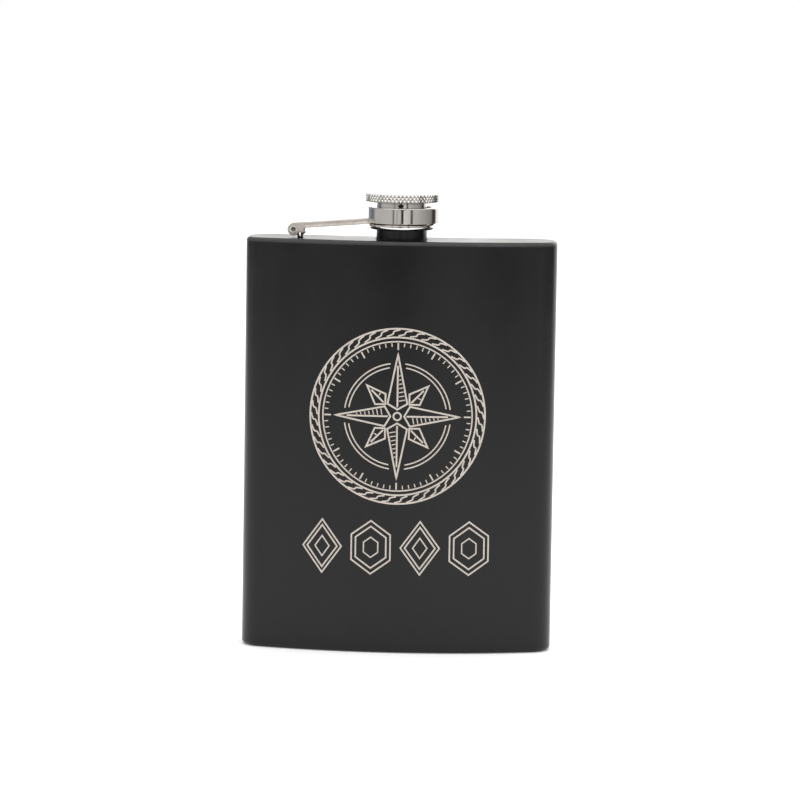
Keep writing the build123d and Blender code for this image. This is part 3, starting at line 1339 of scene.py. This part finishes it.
@dataclass(frozen=True)
class Cloth:
    """One stretch of the tent's wall, as gloss sees it."""

    start: float  # its two ends' turns about the scene, from the front
    stop: float
    tone: float  # how bright it is at its start, and at its end
    end_tone: float
    tint: Tint = Tint.NEUTRAL


@dataclass
class Studio:
    """A white table in a light tent, and the camera in front of it."""

    distance: float = 1.30  # from the camera to its target
    azimuth: float = 2.4
    elevation: float = 6.05
    roll: float = 0.92
    lens: float = 190.9  # in millimetres, as the sensor's width is
    sensor: float = 36.0
    clip: Point2 = (0.05, 20.0)
    target: Point3 = (0.00022, 0.0, 0.07641)

    floor_size: float = 1.8
    floor_back: float = 4.0  # how far it runs behind the flask, in half sizes
    floor_drop: float = 0.05 * MM

    lamp_place: Point3 = (0.15, -0.1, 1.3)
    lamp_aim: Point3 = (0.0, 0.0, 0.06)
    lamp_size: float = 1.2
    lamp_power: float = 9.0  # in watts

    roof: Colour = (0.95, 0.95, 0.95)
    roof_start: Point2 = (0.40, 0.75)  # the heights on the unit sphere where wall turns to roof
    slit_tone: Colour = (0.02, 0.018, 0.016)
    slit_turn: float = -3.3  # where the tent's front opening is
    slit_widths: Point2 = (1.0, 13.0)  # its half width at its bottom and at its top
    slit_heights: Point2 = (-0.09, 0.06)
    slit_level: Point2 = (0.07, 0.17)  # the middle and half height of the stretch it shows on
    walls: tuple[Cloth, ...] = (
        Cloth(-180, -166, 1.6, 1.15),
        Cloth(-158, -140, 0.30, 0.36, Tint.COOL),
        Cloth(-124, -112, 0.20, 0.24, Tint.COOL),
        Cloth(-102, -36, 0.57, 0.59),
        Cloth(-33.3, -31, 0.14, 0.14, Tint.WARM),
        Cloth(-28, -23, 0.62, 0.62),
        Cloth(-21, -19.5, 0.42, 0.42, Tint.WARM),
        Cloth(-17, -8, 0.62, 0.62),
        Cloth(-5.3, -1.3, 0.02, 0.02, Tint.WARM),
        Cloth(1.2, 21, 0.80, 0.68),
        Cloth(25, 28.5, 0.06, 0.06, Tint.WARM),
        Cloth(32, 98, 0.60, 0.28),
        Cloth(107, 119, 0.05, 0.05, Tint.WARM),
        Cloth(128, 180, 1.15, 1.6),
    )

    def floor(self) -> None:
        """Lays the pale table top, which glows a little as painted light."""
        half = self.floor_size / 2
        back = self.floor_back * half
        corners = [(-half, -half), (half, -half), (half, back), (-half, back)]
        mesh = bpy.data.meshes.new("table_top")
        mesh.from_pydata([(x, y, -self.floor_drop) for x, y in corners], [], [(0, 1, 2, 3)])
        table = bpy.data.objects.new("table_top", mesh)
        bpy.context.scene.collection.objects.link(table)
        # its material glows as painted light
        GLOWING_TABLE.dress(table)

    def walls_by_turn(self, graph: Graph, turn: bpy.types.NodeSocket) -> bpy.types.NodeSocket:
        """Colours the tent's wall by its turn about the scene.

        Args:
            graph: where the nodes go.
            turn: the turn from the front, in radians.

        Returns:
            The wall's colour.
        """
        share = graph.math("ADD", graph.math("DIVIDE", turn, TAU), 0.5)
        node = graph.add("ShaderNodeValToRGB", i0=share)
        stops = []
        for cloth in self.walls:
            for degrees, tone in ((cloth.start, cloth.tone), (cloth.stop, cloth.end_tone)):
                stops.append((degrees, tuple(tone * c for c in cloth.tint.value)))
        ramp = node.color_ramp
        while len(ramp.elements) < len(stops):
            ramp.elements.new(0.5)
        for element, (degrees, colour) in zip(ramp.elements, stops):
            element.position = degrees / 360.0 + 0.5
            element.color = (*colour, 1.0)
        return node.outputs[0]

    def slit(
        self, graph: Graph, turn: bpy.types.NodeSocket, up: bpy.types.NodeSocket
    ) -> bpy.types.NodeSocket:
        """Finds the dark opening in the tent's front, a wedge that widens upwards.

        Args:
            graph: where the nodes go.
            turn: the turn from the front, in radians.
            up: the height on the unit sphere.

        Returns:
            1 inside the opening and 0 outside it.
        """
        middle, reach = self.slit_level
        half = graph.span(up, *self.slit_widths, *self.slit_heights)
        off = graph.math("ADD", graph.math("DEGREES", turn), -self.slit_turn)
        inside = graph.math("LESS_THAN", graph.math("ABSOLUTE", off), half)
        rise = graph.math("ABSOLUTE", graph.math("ADD", up, -middle))
        return graph.product(inside, graph.math("LESS_THAN", rise, reach))

    def tent(self) -> None:
        """Wraps the scene in white, with the tent's seams and openings where only gloss sees them."""
        world = bpy.data.worlds.new("light_tent")
        bpy.context.scene.world = world
        world.use_nodes = True
        graph = Graph(world.node_tree)
        way = graph.add("ShaderNodeTexCoord").outputs["Generated"]
        across, along, up = graph.add("ShaderNodeSeparateXYZ", Vector=way).outputs
        turn = graph.math("ARCTAN2", across, graph.math("MULTIPLY", along, -1.0))
        overhead = graph.span(up, 0.0, 1.0, *self.roof_start)
        covered = graph.paint(overhead, self.walls_by_turn(graph, turn), self.roof)
        opened = graph.paint(self.slit(graph, turn, up), covered, self.slit_tone)
        glossy = graph.add("ShaderNodeLightPath").outputs["Is Glossy Ray"]
        seen = [
            graph.add("ShaderNodeBackground", Color=colour, Strength=1.0).outputs[0]
            for colour in ((1.0, 1.0, 1.0, 1.0), opened)
        ]
        pick = graph.add("ShaderNodeMixShader", i0=glossy, i1=seen[0], i2=seen[1])
        graph.add("ShaderNodeOutputWorld", Surface=pick.outputs[0])

    def lamp(self) -> None:
        """Hangs a square soft light over the flask, which its polished metal doesn't show."""
        light = bpy.data.lights.new("overhead", "AREA")
        light.shape = "SQUARE"
        light.size = self.lamp_size
        light.energy = self.lamp_power
        lamp = bpy.data.objects.new("overhead", light)
        bpy.context.scene.collection.objects.link(lamp)
        lamp.location = self.lamp_place
        lamp.visible_glossy = False
        way = Vector(self.lamp_aim) - Vector(self.lamp_place)
        lamp.rotation_euler = way.to_track_quat("-Z", "Y").to_euler()

    def camera(self) -> None:
        """Stands the camera a little above the flask's middle, a little to its right."""
        data = bpy.data.cameras.new("camera")
        data.lens = self.lens
        data.sensor_width = self.sensor
        data.clip_start, data.clip_end = self.clip
        camera = bpy.data.objects.new("camera", data)
        bpy.context.scene.collection.objects.link(camera)
        turn, lift = math.radians(self.azimuth), math.radians(self.elevation)
        level = math.cos(lift)
        back = Vector((math.sin(turn) * level, -math.cos(turn) * level, math.sin(lift)))
        camera.location = Vector(self.target) + back * self.distance
        aim = (-back).to_track_quat("-Z", "Y").to_matrix().to_4x4()
        lean = Matrix.Rotation(math.radians(self.roll), 4, "Z")
        camera.rotation_euler = (aim @ lean).to_euler()
        bpy.context.scene.camera = camera

    def make(self) -> None:
        """Sets up the table, the tent, the lamp and the camera."""
        bpy.context.scene.view_settings.view_transform = "Standard"
        self.floor()
        self.tent()
        self.lamp()
        self.camera()
        LOG.info("studio ready")


def main() -> None:
    """Builds the flask piece by piece, then the studio."""
    logging.basicConfig(level=logging.INFO, format="%(name)s: %(message)s")
    shell = Shell()
    shell.make()
    Ornament(shell).make()
    Cap().make()
    Arm().make()
    Studio().make()


if __name__ == "__main__":
    main()
